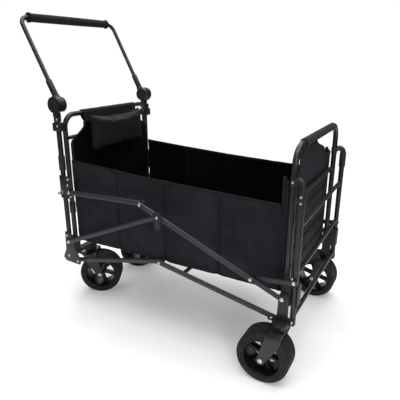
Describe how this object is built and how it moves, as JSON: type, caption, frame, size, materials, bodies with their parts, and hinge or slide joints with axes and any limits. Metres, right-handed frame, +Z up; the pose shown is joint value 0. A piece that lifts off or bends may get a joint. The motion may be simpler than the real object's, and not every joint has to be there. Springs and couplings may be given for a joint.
{
  "type": "folding utility wagon",
  "caption": "Folding four-wheel wagon with a cloth basket between two tube end frames, hinged side links, swivel wheels and a tilting push-pull handle.",
  "frame": {"origin": "on the floor under the middle of the open wagon's outer box", "axes": "+X forward, away from the handle; -Y the right-hand side; +Z up"},
  "size_m": [1.13, 0.7152, 1.153],
  "materials": {
    "frame_paint": "satin black powder coat",
    "fork_paint": "satin blue-black powder coat",
    "plate_paint": "satin black powder coat",
    "rivet_steel": "bright zinc plate",
    "black_plastic": "fine moulded texture",
    "grip_foam": "closed-cell foam",
    "rim_plastic": "moulded",
    "tyre_rubber": "grooved tread",
    "brake_red": "moulded",
    "outer_fabric": "navy-black polyester oxford weave",
    "inner_fabric": "black polyester oxford weave"
  },
  "bodies": {
    "root": {"rear_inner_frame": "frame_paint", "rear_crossbar": "frame_paint", "rear_outer_tubes": "frame_paint", "rear_lower_beam": "plate_paint", "rear_side_plates": "plate_paint", "rear_rivets": "rivet_steel", "hub_bases": "black_plastic", "hub_brackets": "black_plastic", "tube_sleeves": "black_plastic", "rear_lower_blocks": "black_plastic", "rear_caster_housings": "black_plastic", "link_pins_rear": "rivet_steel", "basket_rear_wall": "inner_fabric", "rear_panel": "inner_fabric", "rear_pad": "inner_fabric", "basket_sides": "outer_fabric", "basket_floor": "inner_fabric"},
    "knob_right": {"lock_knob_right": "rivet_steel"},
    "knob_left": {"lock_knob_left": "rivet_steel"},
    "handle": {"handle_hubs": "black_plastic", "handle_sleeves": "black_plastic"},
    "handle_bar": {"handle_tube": "frame_paint", "handle_grip": "grip_foam"},
    "button_right": {"snap_button_right": "rivet_steel"},
    "button_left": {"snap_button_left": "rivet_steel"},
    "rear_link_pair": {"rear_links": "frame_paint"},
    "long_link_pair": {"long_links": "frame_paint", "middle_hubs": "black_plastic", "link_tails": "plate_paint"},
    "upper_link_pair": {"upper_links": "frame_paint", "upper_link_caps": "black_plastic"},
    "rear_rail_pair": {"rear_rails": "frame_paint"},
    "front_rail_pair": {"front_rails": "frame_paint"},
    "front_frame": {"front_inner_frame": "frame_paint", "front_crossbars": "frame_paint", "front_outer_tubes": "frame_paint", "front_hooks": "black_plastic", "front_side_plates": "plate_paint", "front_lower_blocks": "black_plastic", "front_stays": "plate_paint", "front_rivets": "rivet_steel", "front_caster_housings": "black_plastic", "link_pins_front": "rivet_steel", "basket_front_wall": "inner_fabric", "front_flap": "outer_fabric", "front_bar_sleeve": "grip_foam"},
    "caster_front_right": {"fork_front_right": "fork_paint"},
    "wheel_front_right": {"wheel_front_right": "rim_plastic", "tyre_front_right": "tyre_rubber"},
    "caster_front_left": {"fork_front_left": "fork_paint"},
    "wheel_front_left": {"wheel_front_left": "rim_plastic", "tyre_front_left": "tyre_rubber"},
    "caster_rear_right": {"fork_rear_right": "fork_paint"},
    "wheel_rear_right": {"wheel_rear_right": "rim_plastic", "tyre_rear_right": "tyre_rubber"},
    "pedal_right": {"brake_pedal_right": "brake_red"},
    "caster_rear_left": {"fork_rear_left": "fork_paint"},
    "wheel_rear_left": {"wheel_rear_left": "rim_plastic", "tyre_rear_left": "tyre_rubber"},
    "pedal_left": {"brake_pedal_left": "brake_red"}
  },
  "joints": [
    {"name": "fold", "type": "hinge", "parent": "root", "child": "rear_link_pair", "pos_m": [-0.374, 0, 0.29], "axis": [0, -1, 0], "range_deg": [0, 50], "deforming": ["basket_sides", "basket_floor"]},
    {"name": "long_link_swing", "type": "hinge", "parent": "rear_link_pair", "child": "long_link_pair", "pos_m": [0.072, 0, 0.48], "axis": [0, -1, 0], "range_deg": [-100.2, 0.1]},
    {"name": "front_frame_swing", "type": "hinge", "parent": "long_link_pair", "child": "front_frame", "pos_m": [0.518, 0, 0.29], "axis": [0, -1, 0], "range_deg": [-0.1, 50.2]},
    {"name": "upper_link_swing", "type": "hinge", "parent": "root", "child": "upper_link_pair", "pos_m": [-0.347, 0, 0.50054], "axis": [0, -1, 0], "range_deg": [-0.1, 73.04]},
    {"name": "rear_rail_swing", "type": "hinge", "parent": "root", "child": "rear_rail_pair", "pos_m": [-0.345, 0, 0.205], "axis": [0, -1, 0], "range_deg": [-0.1, 72.49]},
    {"name": "front_rail_swing", "type": "hinge", "parent": "rear_rail_pair", "child": "front_rail_pair", "pos_m": [0.05, 0, 0.291], "axis": [0, -1, 0], "range_deg": [-127.25, 0.1]},
    {"name": "handle_tilt", "type": "hinge", "parent": "root", "child": "handle", "pos_m": [-0.386, 0, 0.828], "axis": [0, 1, 0], "range_deg": [-45, 60]},
    {"name": "handle_extend", "type": "slide", "parent": "handle", "child": "handle_bar", "axis": [-0.4639, 0, 0.8859], "range_m": [-0.024, 0]},
    {"name": "snap_button_right", "type": "slide", "parent": "handle_bar", "child": "button_right", "axis": [0, 1, 0], "range_m": [0, 0.003], "stiffness_N_per_m": 400},
    {"name": "lock_knob_right", "type": "slide", "parent": "root", "child": "knob_right", "axis": [0, -1, 0], "range_m": [0, 0.008], "stiffness_N_per_m": 400},
    {"name": "snap_button_left", "type": "slide", "parent": "handle_bar", "child": "button_left", "axis": [0, -1, 0], "range_m": [0, 0.003], "stiffness_N_per_m": 400},
    {"name": "lock_knob_left", "type": "slide", "parent": "root", "child": "knob_left", "axis": [0, 1, 0], "range_m": [0, 0.008], "stiffness_N_per_m": 400},
    {"name": "caster_front_right_swivel", "type": "hinge", "parent": "front_frame", "child": "caster_front_right", "pos_m": [0.517, -0.304, 0.18], "axis": [0, 0, 1], "continuous": true},
    {"name": "wheel_front_right_spin", "type": "hinge", "parent": "caster_front_right", "child": "wheel_front_right", "pos_m": [0.477, -0.304, 0.088], "axis": [0, 1, 0], "continuous": true},
    {"name": "caster_front_left_swivel", "type": "hinge", "parent": "front_frame", "child": "caster_front_left", "pos_m": [0.517, 0.304, 0.18], "axis": [0, 0, 1], "continuous": true},
    {"name": "wheel_front_left_spin", "type": "hinge", "parent": "caster_front_left", "child": "wheel_front_left", "pos_m": [0.477, 0.304, 0.088], "axis": [0, 1, 0], "continuous": true},
    {"name": "caster_rear_right_swivel", "type": "hinge", "parent": "root", "child": "caster_rear_right", "pos_m": [-0.405, -0.138, 0.18], "axis": [0, 0, 1], "continuous": true},
    {"name": "wheel_rear_right_spin", "type": "hinge", "parent": "caster_rear_right", "child": "wheel_rear_right", "pos_m": [-0.37036, -0.118, 0.088], "axis": [0.5, -0.866, 0], "continuous": true},
    {"name": "brake_pedal_right_press", "type": "hinge", "parent": "caster_rear_right", "child": "pedal_right", "pos_m": [-0.43445, -0.155, 0.176], "axis": [0.5, -0.866, 0], "range_deg": [0, 12]},
    {"name": "caster_rear_left_swivel", "type": "hinge", "parent": "root", "child": "caster_rear_left", "pos_m": [-0.405, 0.138, 0.18], "axis": [0, 0, 1], "continuous": true},
    {"name": "wheel_rear_left_spin", "type": "hinge", "parent": "caster_rear_left", "child": "wheel_rear_left", "pos_m": [-0.37036, 0.158, 0.088], "axis": [0.5, -0.866, 0], "continuous": true},
    {"name": "brake_pedal_left_press", "type": "hinge", "parent": "caster_rear_left", "child": "pedal_left", "pos_m": [-0.43445, 0.121, 0.176], "axis": [0.5, -0.866, 0], "range_deg": [0, 12]}
  ],
  "couplings": [
    {"joint": "long_link_swing", "follows": "fold", "ratio": -2},
    {"joint": "front_frame_swing", "follows": "fold", "ratio": 1},
    {"joint": "upper_link_swing", "follows": "fold", "ratio": 1.4569},
    {"joint": "rear_rail_swing", "follows": "fold", "ratio": 1.4458},
    {"joint": "front_rail_swing", "follows": "fold", "ratio": -2.541}
  ]
}
